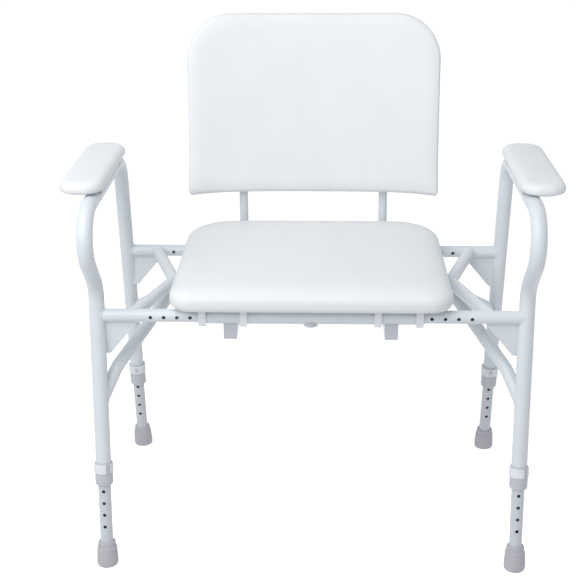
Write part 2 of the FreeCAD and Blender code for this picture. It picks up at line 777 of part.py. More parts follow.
def make_post(side, board):
    """Bent post: upright in its socket, then leaning with the board behind which it runs."""
    lean = "tan(back_lean * 1 deg)"
    post = bent_tube("backrest_post", "YZ_Plane",
                     [("post_depth", "post_foot"), ("post_depth", "post_bend_height"),
                      ("post_depth + (post_top - post_bend_height) * " + lean, "post_top")],
                     ["post_bend"], "post_tube", "post_wall")
    post.Placement.Base = Vector(side * size("beam_spacing"), 0, 0)
    return cut(post, board)


def make_backrest():
    board = curved_panel("backrest_board", "back_thickness - board_thickness", "back_thickness",
                         "board_inset", "back_top_corner - board_inset", "back_foot_corner / 2")
    keep("backrest_board", board)
    cushion = curved_panel("backrest_cushion", "0", "back_thickness", "0",
                           "back_top_corner", "back_foot_corner")
    keep("backrest_pad", cut(cushion, board))

    lean = math.radians(size("back_lean"))
    behind = size("post_depth - back_front") * math.cos(lean)
    behind += size("back_foot - post_bend_height") * math.sin(lean)
    posts = []
    caps = []
    screws = []
    for side in SIDES.values():
        posts.append(make_post(side, board))
        cap = revolved("post_cap", [
            ("0", "-8"), ("post_tube / 2 - post_wall", "-8"), ("post_tube / 2 - post_wall", "0"),
            ("post_tube / 2", "0"), ("post_tube / 2", "1"), ("post_tube / 2 - 2.5", "3"), ("0", "3.6")])
        end = Vector(side * size("beam_spacing"), size("post_depth"), size("post_top"))
        end.y += size("post_top - post_bend_height") * math.tan(lean)
        cap.Placement = Placement(end, Rotation(X_AXIS, -size("back_lean")))
        caps.append(cap)
        for height in ("low_screw", "high_screw"):
            start = Vector(side * size("beam_spacing"), behind + size("post_tube / 2"), size(height))
            driven = screw(start, -Y_AXIS, "post_tube + board_thickness - 2")
            driven.Placement = back_frame() * driven.Placement
            screws.append(driven)
    for name, post in zip(SIDES, posts):
        keep(name + "_backrest_post", post)
    group("backrest_post_caps", caps)
    group("backrest_screws", screws)


# ---- Assembly -------------------------------------------------------------------------------

for side_name, side in SIDES.items():
    make_side_tube(side, side_name)
    bands = []
    for end_name, end in ENDS.items():
        corner = "%s_%s" % (side_name, end_name)
        make_stub(side, end, corner)
        make_leg(side, end, corner)
        make_foot(side, end, corner)
        make_collar(side, end, corner)
        bands.append(make_band(side, end))
        pin = lock_pin(corner + "_leg_pin", "band_radius + pin_stand_off")
        pin.Placement = (leg_frame(side, end, size("pin_height + " + rise(end)))
                         * aimed(Vector(), pin_direction(end)))
        keep(corner + "_leg_pin", pin)
        pin = lock_pin(corner + "_width_pin", "rail_tube / 2 + pin_stand_off")
        pin.Placement = rail_pin_frame(side, end)
        keep(corner + "_width_pin", pin)
    group(side_name + "_collar_bands", bands)
    group(side_name + "_v_braces", [cut(v_brace(side, end), stub_envelope(side, end), beyond_middle(end))
                                    for end in ENDS.values()])
    group(side_name + "_knee_braces", [knee_brace(side, end) for end in ENDS.values()])
    group(side_name + "_gussets", [gusset(side, end) for end in ENDS.values()])
    make_armrest(side, side_name)
    make_beam(side, side_name)

for end_name, end in ENDS.items():
    make_rail(end, end_name)

make_beam_caps()
make_sockets()
make_drain_plug()
make_seat()
make_backrest()

DOC.recompute()

failed = [thing.Label for thing in DOC.Objects if {"Invalid", "Error"} & set(thing.State)]
for label, thing in PARTS.items():
    if thing.Shape.isNull() or not thing.Shape.isValid() or not thing.Shape.Solids:
        failed.append(label)
if failed:
    raise RuntimeError("these objects failed: " + ", ".join(sorted(set(failed))))

os.makedirs("parts", exist_ok=True)
for label, thing in PARTS.items():
    thing.Shape.exportStep("parts/%s.step" % label)
    box = thing.Shape.BoundBox
    print("%-26s %d solids, %8.1f mm3, z %.1f to %.1f"
          % (label, len(thing.Shape.Solids), thing.Shape.Volume, box.ZMin, box.ZMax))
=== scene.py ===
import json
import math

import bmesh
import bpy
import numpy
from mathutils import Matrix, Vector, noise


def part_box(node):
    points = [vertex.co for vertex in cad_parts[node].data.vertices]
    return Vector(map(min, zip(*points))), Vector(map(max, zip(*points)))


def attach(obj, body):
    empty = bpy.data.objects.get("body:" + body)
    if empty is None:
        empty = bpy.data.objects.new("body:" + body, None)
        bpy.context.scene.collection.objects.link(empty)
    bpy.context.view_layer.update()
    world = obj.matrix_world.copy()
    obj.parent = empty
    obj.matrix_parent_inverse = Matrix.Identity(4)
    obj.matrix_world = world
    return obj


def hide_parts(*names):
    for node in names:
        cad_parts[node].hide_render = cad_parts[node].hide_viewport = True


# Padded shower chair: soft pads, weld beads and surface finishes round the CAD frame. Metres.

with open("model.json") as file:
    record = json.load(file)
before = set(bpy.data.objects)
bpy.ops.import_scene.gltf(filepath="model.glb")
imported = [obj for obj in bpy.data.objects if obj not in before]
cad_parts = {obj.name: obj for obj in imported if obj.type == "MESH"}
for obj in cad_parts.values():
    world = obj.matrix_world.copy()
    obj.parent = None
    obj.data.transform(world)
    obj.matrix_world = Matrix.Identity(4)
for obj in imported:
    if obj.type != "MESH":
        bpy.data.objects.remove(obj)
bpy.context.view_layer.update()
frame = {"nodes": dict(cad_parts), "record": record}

MM = 0.001
SIDES = {"left": -1, "right": 1}
ENDS = {"front": -1, "rear": 1}


# ---- Materials ------------------------------------------------------------------------------

class Shader:
    """A node material built round one Principled shader, in the piece's own coordinates."""

    def __init__(self, name, roughness, **fixed):
        self.material = bpy.data.materials.new(name)
        self.material.use_nodes = True
        self.tree = self.material.node_tree
        self.surface = self.tree.nodes["Principled BSDF"]
        self.place = self.add("ShaderNodeTexCoord").outputs["Object"]
        self.surface.inputs["Roughness"].default_value = roughness
        for socket, value in fixed.items():
            self.surface.inputs[socket.replace("_", " ")].default_value = value

    def add(self, kind, **settings):
        node = self.tree.nodes.new(kind)
        for key, value in settings.items():
            setattr(node, key, value)
        return node

    def link(self, out, into):
        self.tree.links.new(out, into)

    def noise(self, cell, detail=3, squeeze=(1, 1, 1), rough=0.5):
        """Cloudy noise with features about one cell wide, squeezed by a factor along each axis."""
        mapping = self.add("ShaderNodeMapping")
        mapping.inputs["Scale"].default_value = squeeze
        self.link(self.place, mapping.inputs["Vector"])
        node = self.add("ShaderNodeTexNoise")
        node.inputs["Scale"].default_value = 1 / cell
        node.inputs["Detail"].default_value = detail
        node.inputs["Roughness"].default_value = rough
        self.link(mapping.outputs["Vector"], node.inputs["Vector"])
        return node.outputs["Fac"]

    def cells(self, size):
        """The distance to the nearest of scattered points, about one size apart."""
        node = self.add("ShaderNodeTexVoronoi")
        node.inputs["Scale"].default_value = 1 / size
        self.link(self.place, node.inputs["Vector"])
        return node.outputs["Distance"]

    def ramp(self, value, dark, light, low=0.3, high=0.7):
        """Spreads two colours or two greys over low..high, where cloudy noise mostly lies."""
        node = self.add("ShaderNodeValToRGB")
        for element, position, tone in zip(node.color_ramp.elements, (low, high), (dark, light)):
            element.position = position
            element.color = (*tone, 1) if hasattr(tone, "__len__") else (tone, tone, tone, 1)
        self.link(value, node.inputs["Fac"])
        return node.outputs["Color"]

    def multiply(self, first, second):
        node = self.add("ShaderNodeMix", data_type="RGBA", blend_type="MULTIPLY")
        node.inputs["Factor"].default_value = 1
        self.link(first, node.inputs["A"])
        self.link(second, node.inputs["B"])
        return node.outputs["Result"]

    def colour(self, out):
        self.link(out, self.surface.inputs["Base Color"])

    def roughness(self, value, smoothest, roughest):
        self.link(self.ramp(value, smoothest, roughest), self.surface.inputs["Roughness"])

    def bump(self, height, distance, strength, under=None):
        """Raises the surface by height; under is a coarser bump that it lies on."""
        node = self.add("ShaderNodeBump")
        node.inputs["Distance"].default_value = distance
        node.inputs["Strength"].default_value = strength
        self.link(height, node.inputs["Height"])
        if under is not None:
            self.link(under, node.inputs["Normal"])
        self.link(node.outputs["Normal"], self.surface.inputs["Normal"])
        return node.outputs["Normal"]


def powder_coat(name, light, dark):
    """Satin powder coat: orange peel, faint mottling, slightly uneven gloss."""
    shader = Shader(name, 0.36, Specular_IOR_Level=0.42, Coat_Weight=0.12, Coat_Roughness=0.22)
    shader.colour(shader.ramp(shader.noise(50 * MM, detail=4), dark, light))
    shader.roughness(shader.noise(12 * MM, detail=4), 0.31, 0.42)
    peel = shader.bump(shader.noise(1.6 * MM, detail=2), 0.12 * MM, strength=0.35)
    shader.bump(shader.noise(0.5 * MM, detail=1), 0.04 * MM, strength=0.25, under=peel)
    return shader.material


def vinyl(name, light, dark):
    """Upholstery vinyl: pebbled grain, soft creases and a low sheen."""
    pebble = 1.6 * MM
    shader = Shader(name, 0.5, Specular_IOR_Level=0.28, Sheen_Weight=0.05, Sheen_Roughness=0.4)
    tone = shader.ramp(shader.noise(90 * MM, detail=5), dark, light)
    # painted shade: the grain's dimples, where the bump dips, are coloured darker
    pit_shade = shader.ramp(shader.cells(pebble), 0.955, 1.0, low=0, high=0.45)
    shader.colour(shader.multiply(tone, pit_shade))
    shader.roughness(shader.noise(6 * MM, detail=4), 0.46, 0.58)
    grain = shader.bump(shader.cells(pebble), 0.18 * MM, strength=0.55)
    fine = shader.bump(shader.noise(0.7 * MM, detail=2), 0.08 * MM, strength=0.4, under=grain)
    shader.bump(shader.noise(20 * MM, rough=0.6), 0.6 * MM, strength=0.25, under=fine)
    return shader.material


def moulded_plastic(name, light, dark, roughness=0.42):
    """Injection-moulded plastic: spark-eroded texture with faint flow marks."""
    shader = Shader(name, roughness, Specular_IOR_Level=0.4)
    flow = shader.noise(20 * MM, detail=5, squeeze=(1, 1, 0.35))
    shader.colour(shader.ramp(flow, dark, light, low=0.32, high=0.68))
    shader.roughness(shader.noise(4 * MM, detail=4), roughness - 0.05, roughness + 0.07)
    texture = shader.bump(shader.noise(0.6 * MM), 0.05 * MM, strength=0.4)
    shader.bump(shader.noise(8 * MM, detail=2), 0.2 * MM, strength=0.15, under=texture)
    return shader.material


def foot_rubber(name, light, dark):
    """Light grey rubber with a dull bloom and faint level scuffs."""
    shader = Shader(name, 0.62, Specular_IOR_Level=0.32)
    bloom = shader.ramp(shader.noise(8 * MM, detail=6, rough=0.65), dark, light)
    scuffs = shader.ramp(shader.noise(3 * MM, detail=5, squeeze=(1, 1, 3)), 0.9, 1.0, low=0.25, high=0.45)
    shader.colour(shader.multiply(bloom, scuffs))
    shader.roughness(shader.noise(3 * MM, detail=4), 0.55, 0.72)
    shader.bump(shader.noise(0.9 * MM, detail=4), 0.12 * MM, strength=0.5)
    return shader.material


def satin_steel(name):
    """Zinc-plated steel, with a gloss that varies in fine level bands."""
    shader = Shader(name, 0.3, Metallic=1.0)
    shader.colour(shader.ramp(shader.noise(4 * MM, detail=4), 0.48, 0.6))
    shader.roughness(shader.noise(1.5 * MM, squeeze=(1, 1, 6)), 0.22, 0.4)
    shader.bump(shader.noise(0.4 * MM, detail=2, squeeze=(1, 1, 8)), 0.03 * MM, strength=0.4)
    return shader.material


def board_face(name, light, dark):
    """Pressed board with a fibrous, slightly uneven white face."""
    shader = Shader(name, 0.55, Specular_IOR_Level=0.3)
    fibres = shader.noise(1.2 * MM, detail=5, squeeze=(1, 4, 1), rough=0.6)
    tone = shader.ramp(shader.noise(60 * MM, detail=4), dark, light)
    shader.colour(shader.multiply(tone, shader.ramp(fibres, 0.95, 1.0, high=0.6)))
    shader.roughness(shader.noise(10 * MM), 0.5, 0.65)
    shader.bump(fibres, 0.08 * MM, strength=0.4)
    return shader.material


FINISHES = {
    "frame_paint": powder_coat("white_powder_coat", (0.672, 0.716, 0.755), (0.65, 0.694, 0.732)),
    # painted shade: the legs carry the frame's white coat, coloured darker because they sit lower, where
    # the light is dimmer
    "leg_paint": powder_coat("leg_powder_coat_painted_shade", (0.585, 0.62, 0.665), (0.56, 0.595, 0.64)),
    "pad_vinyl": vinyl("white_vinyl", (0.76, 0.782, 0.8), (0.738, 0.76, 0.778)),
    "moulded_plastic": moulded_plastic("collar_plastic", (0.53, 0.55, 0.595), (0.505, 0.525, 0.57)),
    "foot_rubber": foot_rubber("grey_rubber", (0.5, 0.495, 0.535), (0.46, 0.455, 0.495)),
    "backing_board": board_face("white_board", (0.7, 0.7, 0.69), (0.655, 0.655, 0.645)),
    "pin_steel": moulded_plastic("pin_plastic", (0.58, 0.58, 0.62), (0.54, 0.54, 0.58), 0.35),
    "fastener_steel": satin_steel("zinc_plated_steel"),
}
BRIGHT_PLASTIC = moulded_plastic("band_plastic", (0.76, 0.79, 0.83), (0.735, 0.765, 0.805))


def finish_nodes():
    """Every CAD node takes its slot's finish; the spring bands and seat clips are the brightest."""
    for row in frame["record"]["subparts"]:
        node = frame["nodes"][row["node"]]
        node.data.materials.clear()
        bright = row["node"].endswith(("_bands", "_clips"))
        node.data.materials.append(BRIGHT_PLASTIC if bright else FINISHES[row["material_slot"]])


# ---- Pieces and meshes ----------------------------------------------------------------------

def add_object(name, data):
    thing = bpy.data.objects.new(name, data)
    bpy.context.scene.collection.objects.link(thing)
    return thing


def new_piece(name, mesh, body, slot):
    piece = add_object(name, mesh)
    mesh.materials.append(FINISHES[slot])
    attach(piece, body)
    return piece


def loft(mesh, rings, closed):
    """Joins rings of points with quads; an open loft is capped at both ends."""
    rings = [[mesh.verts.new(point) for point in ring] for ring in rings]
    pairs = list(zip(rings, rings[1:]))
    if closed:
        pairs.append((rings[-1], rings[0]))
    for first, second in pairs:
        count = len(first)
        for step in range(count):
            following = (step + 1) % count
            mesh.faces.new((first[step], first[following], second[following], second[step]))
    if not closed:
        mesh.faces.new(reversed(rings[0]))
        mesh.faces.new(rings[-1])


def finished_mesh(name, mesh, smooth_shaded=True):
    bmesh.ops.recalc_face_normals(mesh, faces=mesh.faces)
    data = bpy.data.meshes.new(name)
    mesh.to_mesh(data)
    mesh.free()
    if smooth_shaded:
        data.shade_smooth()
    return data


def circle(centre, across, other, radius, steps):
    """Points round a circle; across and other are unit directions square to each other."""
    angles = [math.tau * step / steps for step in range(steps)]
    return [centre + (across * math.cos(angle) + other * math.sin(angle)) * radius for angle in angles]


# ---- Soft pads ------------------------------------------------------------------------------

# how far a cushion's back lies inside its board's face, which stays in sight within the hem
BOARD_RELIEF = 1 * MM
# how deep from its back a cushion is held still while its cover fills out
HELD_DEPTH = 4 * MM


def rounded_outline(low, high, low_radius, high_radius, inset=0, steps=9):
    """Points round a rectangle, anticlockwise: one radius for its low-Y, one for its high-Y corners."""
    sharpest = 7 * MM
    corners = [(high.x, low.y, low_radius, -90), (high.x, high.y, high_radius, 0),
               (low.x, high.y, high_radius, 90), (low.x, low.y, low_radius, 180)]
    middle = (low + high) / 2
    points = []
    for x, y, radius, start in corners:
        inner_radius = max(radius - inset, sharpest)
        reach = inset + inner_radius
        centre = Vector((x - math.copysign(reach, x - middle.x), y - math.copysign(reach, y - middle.y)))
        for step in range(steps + 1):
            angle = math.radians(start + 90 * step / steps)
            points.append(centre + Vector((math.cos(angle), math.sin(angle))) * inner_radius)
    return points


def rolled_levels(thickness, foot_radius, roll_inset, roll_drop, steps=8):
    """(inset, height) pairs up the side of a pad: a round foot, and a top edge rolled as an ellipse."""
    angles = [math.radians(90 * step / steps) for step in range(steps + 1)]
    foot = [(foot_radius * (1 - math.sin(angle)), foot_radius * (1 - math.cos(angle))) for angle in angles]
    roll = [(roll_inset * (1 - math.cos(angle)), thickness - roll_drop * (1 - math.sin(angle)))
            for angle in angles]
    return foot + roll


def pad_mesh(name, outline_at, levels, place):
    """A closed pad: rings of outline_at(inset), level by level; place maps (x, y, height) to space."""
    mesh = bmesh.new()
    rings = [[place(point.x, point.y, height) for point in outline_at(inset)]
             for inset, height in levels]
    loft(mesh, rings, closed=False)
    return finished_mesh(name, mesh, smooth_shaded=False)


def apply_modifiers(piece):
    """Bakes what the modifiers make now into the piece's own mesh."""
    bpy.context.view_layer.update()
    evaluated = piece.evaluated_get(bpy.context.evaluated_depsgraph_get())
    baked = bpy.data.meshes.new_from_object(evaluated)
    piece.modifiers.clear()
    piece.data = baked


def remesh(piece, voxel):
    modifier = piece.modifiers.new("remesh", "REMESH")
    modifier.mode = "VOXEL"
    modifier.voxel_size = voxel
    modifier.use_smooth_shade = True
    apply_modifiers(piece)


def smooth(piece, times, factor=0.5):
    modifier = piece.modifiers.new("smooth", "SMOOTH")
    modifier.iterations = times
    modifier.factor = factor
    apply_modifiers(piece)


def evened(values, edges, times):
    """Spreads each vertex's value over its neighbours, so that creases fade and fullness stays."""
    ends = numpy.concatenate((edges, edges[:, ::-1]))
    count = numpy.bincount(ends[:, 0], minlength=len(values))
    for turn in range(times):
        total = numpy.bincount(ends[:, 0], weights=values[ends[:, 1]], minlength=len(values))
        values = 0.5 * values + 0.5 * total / count
    return values


def add_cloth(piece, pinned, pressure, frames):
    """A light cover under air pressure; the vertices listed in pinned stay in place."""
    group = piece.vertex_groups.new(name="held")
    group.add(pinned, 1.0, "REPLACE")
    cloth = piece.modifiers.new("cloth", "CLOTH")
    settings = cloth.settings
    settings.quality = 6
    settings.mass = 0.3
    settings.tension_stiffness = 12
    settings.compression_stiffness = 12
    settings.shear_stiffness = 8
    settings.bending_stiffness = 1.5
    settings.use_pressure = True
    settings.uniform_pressure_force = pressure
    settings.effector_weights.gravity = 0
    settings.vertex_group_mass = group.name
    cloth.point_cache.frame_start = 1
    cloth.point_cache.frame_end = frames


def inflate(piece, held, cap, pressure=4.0, frames=20):
    """Fills the cover by cloth simulation: held(point) keeps the side on the board in place."""
    crease_turns = 60
    rim_turns = 6
    rest = [vertex.co.copy() for vertex in piece.data.vertices]
    normals = [vertex.normal.copy() for vertex in piece.data.vertices]
    edges = numpy.array([tuple(edge.vertices) for edge in piece.data.edges])
    fixed = [held(point) for point in rest]
    add_cloth(piece, [index for index, kept in enumerate(fixed) if kept], pressure, frames)
    for step in range(1, frames + 1):
        bpy.context.scene.frame_set(step)
    apply_modifiers(piece)
    swell = numpy.array([(vertex.co - start).dot(normal) for vertex, start, normal
                         in zip(piece.data.vertices, rest, normals)])
    # eases towards the cap, so that no crease shows where it starts to act
    swell = cap * numpy.tanh(numpy.maximum(swell, 0) / cap)
    swell[fixed] = 0
    swell = evened(swell, edges, crease_turns)
    # held again, then eased once more, so that no step shows round the held side
    swell[fixed] = 0
    swell = evened(swell, edges, rim_turns)
    for vertex, start, normal, rise in zip(piece.data.vertices, rest, normals, swell):
        vertex.co = start + normal * rise
    bpy.context.scene.frame_set(1)


def finish_pad(piece, voxel, held, cap, bend=None):
    """Evens out the mesh, bends it if asked, fills it, subdivides it once and shades it smooth."""
    remesh(piece, voxel)
    smooth(piece, times=4)
    if bend:
        for vertex in piece.data.vertices:
            vertex.co = bend(*vertex.co)
        piece.data.update()
    inflate(piece, held, cap)
    subdivide = piece.modifiers.new("subdivide", "SUBSURF")
    subdivide.levels = 1
    subdivide.render_levels = 1
    apply_modifiers(piece)
    piece.data.shade_smooth()


def crown(cap):
    """How far below the pad's height its face starts, for the simulation to fill it out."""
    share_of_cap = 0.7
    return cap * share_of_cap


def flat_pad(name, node, body, corners, rolls, voxel, cap):
    """A pad that lies on a board: the seat and the armrests."""
    low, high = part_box(node)
    # makes up for what the smoothing takes off the edges
    fullness = Vector((1.5 * MM, 1.5 * MM))
    foot = low.z + BOARD_RELIEF

    def outline_at(inset):
        return rounded_outline(low.xy - fullness, high.xy + fullness, *corners, inset)

    mesh = pad_mesh(name, outline_at, rolled_levels(high.z - foot - crown(cap), *rolls),
                    lambda x, y, height: Vector((x, y, foot + height)))
    piece = new_piece(name, mesh, body, "pad_vinyl")
    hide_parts(node)
    finish_pad(piece, voxel, lambda point: point.z < foot + HELD_DEPTH, cap)


class BackFrame:
    """The leaning panel's own frame: x across, z up the panel, and depth from its front face."""

    def __init__(self):
        low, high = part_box("backrest_pad")
        self.half_width = (high.x - low.x) / 2
        # the rest of the panel's sizes, as in the CAD
        self.thickness = 42 * MM
        self.curve = 1200 * MM
        lean = math.radians(11)
        self.height = 374 * MM
        foot = Vector((0, high.y - self.thickness * math.cos(lean) - self.height * math.sin(lean),
                       low.z + self.thickness * math.sin(lean)))
        self.matrix = Matrix.Translation(foot) @ Matrix.Rotation(-lean, 4, "X")
        self.inverse = self.matrix.inverted()

    def place(self, x, z, depth):
        """A point at a depth behind the hollow front face."""
        radius = self.curve + depth
        return self.matrix @ Vector((x, math.sqrt(radius ** 2 - x ** 2) - self.curve, z))

    def depth(self, point):
        local = self.inverse @ point
        return math.hypot(local.x, local.y + self.curve) - self.curve


def back_pad(back):
    """The backrest: rolled edges on a panel that curves towards the sitter at its sides."""
    voxel = 5 * MM
    cap = 6 * MM
    # the extra width and height make up for what the smoothing takes off the edges
    half_width = back.half_width + 2.5 * MM
    height = back.height + 8.5 * MM
    foot_corner = 9 * MM
    top_corner = 100 * MM
    rolls = (6 * MM, 34 * MM, 14 * MM)
    tip_droop = 7 * MM

    def outline_at(inset):
        return rounded_outline(Vector((-half_width, 0)), Vector((half_width, height)),
                               foot_corner, top_corner, inset, steps=14)

    def bend(x, z, depth):
        """Curves the panel, and lets its two bottom corners hang as pointed tips."""
        near_tip = abs(x / half_width) ** 6 * max(0, 1 - z / height) ** 4
        return back.place(x, z - tip_droop * near_tip, depth)

    mesh = pad_mesh("backrest_cushion", outline_at, rolled_levels(back.thickness - crown(cap), *rolls),
                    lambda x, z, rise: Vector((x, z, back.thickness - rise)))
    piece = new_piece("backrest_cushion", mesh, "backrest", "pad_vinyl")
    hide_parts("backrest_pad")
    finish_pad(piece, voxel, lambda point: back.depth(point) > back.thickness - HELD_DEPTH, cap,
               bend=bend)


# ---- Covers' hems ---------------------------------------------------------------------------

def even_points(outline, spacing):
    """The closed outline again, with points evenly spaced along it."""
    closed = outline + outline[:1]
    lengths = [(after - before).length for before, after in zip(closed, closed[1:])]
    count = round(sum(lengths) / spacing)
    step = sum(lengths) / count
    points = []
    travelled = 0
    for start, end, length in zip(closed, closed[1:], lengths):
        while len(points) < count and len(points) * step <= travelled + length:
            share = (len(points) * step - travelled) / length if length else 0
            points.append(start.lerp(end, share))
        travelled += length
    return points


def staple(mesh, middle, along, across, lift, place):
    """A staple that lies along the hem at its height, lift, and dives into it at both ends."""
    half_length = 5.5 * MM
    half_width = 0.6 * MM
    over = 0.3 * MM
    under = 0.7 * MM
    under_tip = 0.2 * MM
    rings = []
    # how far along the staple, in half lengths, and how far up from the hem, in half widths
    for reach, height in ((-1, -1), (-1, 0.5), (-0.86, 1), (0.86, 1), (1, 0.5), (1, -1)):
        centre = middle + along * half_length * reach
        near = centre - across * half_width
        far = centre + across * half_width
        rise = lift + half_width * height
        top = rise + over
        foot = rise - (under if height > 0 else under_tip)
        rings.append([place(*near, foot), place(*far, foot), place(*far, top), place(*near, top)])
    loft(mesh, rings, closed=False)


def hem(name, body, outline, width, place):
    """The cover's edge, turned over the board and stapled: place maps (x, y, rise off the board)."""
    ring_spacing = 6 * MM
    rings_per_staple = 7
    edge_wander = 2.2 * MM
    edge_waves_per_metre = 28
    fold_height = 0.9 * MM
    fold_unevenness = 0.5 * MM
    fold_waves_per_metre = 45
    fold_layer = 3  # keeps the fold's noise apart from the edge's
    inner_share = 0.9
    outer_rise = 0.2 * MM
    outer_foot = -1.6 * MM
    inner_foot = -1.4 * MM
    strip = bmesh.new()
    staples = bmesh.new()
    outer = even_points(outline, ring_spacing)
    rings = []
    for index, point in enumerate(outer):
        around = outer[(index + 1) % len(outer)] - outer[index - 1]
        inward = Vector((-around.y, around.x)).normalized()
        wander = edge_wander * noise.noise(Vector((point.x, point.y, 0)) * edge_waves_per_metre)
        inner = point + inward * (width + wander)
        middle = point.lerp(inner, 0.5)
        uneven = noise.noise(Vector((point.x, point.y, fold_layer)) * fold_waves_per_metre)
        lift = fold_height + fold_unevenness * uneven
        rings.append([place(*point, outer_foot), place(*point, outer_rise), place(*middle, lift),
                      place(*inner, lift * inner_share), place(*inner, inner_foot)])
        if index % rings_per_staple == rings_per_staple // 2:
            staple(staples, middle, around.normalized(), inward, lift, place)
    loft(strip, rings, closed=True)
    new_piece(name + "_hem", finished_mesh(name + "_hem", strip), body, "pad_vinyl")
    wires = finished_mesh(name + "_staples", staples, smooth_shaded=False)
    new_piece(name + "_staples", wires, body, "fastener_steel")


def seat_hem():
    """The seat cover's hem: a ring a little inside the pad's edge, round its underside."""
    low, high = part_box("seat_pad")
    edge = Vector((13 * MM, 13 * MM))
    front_corner = 37 * MM
    back_corner = 82 * MM
    outline = rounded_outline(low.xy + edge, high.xy - edge, front_corner, back_corner)
    hem("seat", "seat", outline, 22 * MM, lambda x, y, rise: Vector((x, y, low.z - rise)))


def back_hem(back):
    """The back cover's hem: a ring a little inside the panel's edge, on its back."""
    edge = 9 * MM
    foot_corner = 30 * MM
    top_corner = 96 * MM
    outline = rounded_outline(Vector((-back.half_width + edge, edge)),
                              Vector((back.half_width - edge, back.height - edge)),
                              foot_corner, top_corner, steps=14)
    hem("backrest", "backrest", outline, 24 * MM,
        lambda x, z, rise: back.place(x, z, back.thickness + rise))


# ---- Weld beads -----------------------------------------------------------------------------

# the side frames' sizes, as in the CAD
BRACE_ROOT = 339 * MM
BRACE_APEX = 280 * MM
KNEE_FOOT_DEPTH = 207.7 * MM
KNEE_FOOT_HEIGHT = 335 * MM
KNEE_BEND_REACH = 53 * MM
KNEE_BEND_RISE = 57 * MM
KNEE_CLIMB = 0.498  # radians, above the bend
KNEE_APEX_DROP = 15 * MM

# how far from a tube's axis the rays start that find where a bead lies on it
APPROACH = 40 * MM
# a brace's bead is set in a little, so that all its rays meet the tube that it lands on
BRACE_BEAD_INSET = 0.3 * MM


def bead(mesh, points, closed=False, radius=1.7 * MM):
    """A rippled weld bead along points; an open one tapers at both ends."""
    sides = 8
    ripple_depth = 0.07
    ripple_turn = 2.1
    unevenness = 0.06
    grains_per_metre = 900
    tip_size = 0.35
    tip_growth = 0.3
    count = len(points)
    rings = []
    across = None
    for index, point in enumerate(points):
        before = points[index - 1] if closed or index else point
        after = points[(index + 1) % count] if closed or index < count - 1 else point
        along = (after - before).normalized()
        across = along.orthogonal() if across is None else across - along * across.dot(along)
        across = across.normalized()
        ripple = ripple_depth * math.sin(index * ripple_turn)
        grain = unevenness * noise.noise(point * grains_per_metre)
        taper = 1 if closed else min(1, tip_size + tip_growth * min(index, count - 1 - index))
        size = radius * (1 + ripple + grain) * taper
        rings.append(circle(point, across, along.cross(across), size, sides))
    loft(mesh, rings, closed)


def hits(node, starts, direction):
    """Where rays from the starts meet a CAD node."""
    casts = [frame["nodes"][node].ray_cast(start, direction) for start in starts]
    return [place for hit, place, normal, face in casts if hit]


def tube_outline(centre, direction, radius):
    """Points round a tube that runs along direction."""
    across = direction.orthogonal().normalized()
    return circle(centre, across, direction.cross(across), radius, steps=60)


def between_points(start, end, spacing=2.4 * MM):
    count = max(3, round((end - start).length / spacing))
    return [start.lerp(end, step / count) for step in range(count + 1)]


def tube_weld(mesh, node, centre, direction, radius):
    """A bead where a round tube that runs along direction lands on the node."""
    direction = direction.normalized()
    starts = tube_outline(centre, direction, radius)
    points = hits(node, starts, direction)
    if len(points) == len(starts):
        bead(mesh, points, closed=True)


def mitre_weld(mesh, centre, direction, radius, bare):
    """A bead round the mitre of two tubes in the chair's middle plane, left out where bare(point)."""
    direction = direction.normalized()
    points = [point - direction * (point.y / direction.y)
              for point in tube_outline(centre, direction, radius)]
    points = [point for point in points if not bare(point)]
    gaps = [(after - before).length for before, after in zip(points[-1:] + points, points)]
    start = gaps.index(max(gaps))
    bead(mesh, points[start:] + points[:start])


def gusset_welds(mesh, leg, leg_x, stub, stub_middle, radius):
    """Beads along both faces of a gusset: up the leg, and along the underside of the stub."""
    bead_radius = 1.3 * MM
    face = 2.7 * MM
    foot_height = 434 * MM
    stub_gap = 2 * MM
    tip_x = 333 * MM
    leg_gap = 17 * MM
    sign = math.copysign(1, leg_x)
    for plane in (stub_middle.y - face, stub_middle.y + face):
        foot = Vector((leg_x - sign * APPROACH, plane, foot_height))
        top = Vector((foot.x, plane, stub_middle.z - radius - stub_gap))
        bead(mesh, hits(leg, between_points(foot, top), Vector((sign, 0, 0))), radius=bead_radius)
        inner = Vector((sign * tip_x, plane, stub_middle.z - APPROACH))
        outer = Vector((leg_x - sign * leg_gap, plane, inner.z))
        bead(mesh, hits(stub, between_points(inner, outer), Vector((0, 0, 1))), radius=bead_radius)


def beam_limit(side):
    """A side frame's points nearer the middle than this would meet the seat beam when slid right in."""
    clearance = 4 * MM
    low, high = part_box(side + "_seat_beam")
    slide = next(joint for joint in frame["record"]["behaviour"]["joints"]
                 if joint["name"] == side + "_width_slide")
    return max(abs(low.x), abs(high.x)) + slide["range_m"][1] + clearance


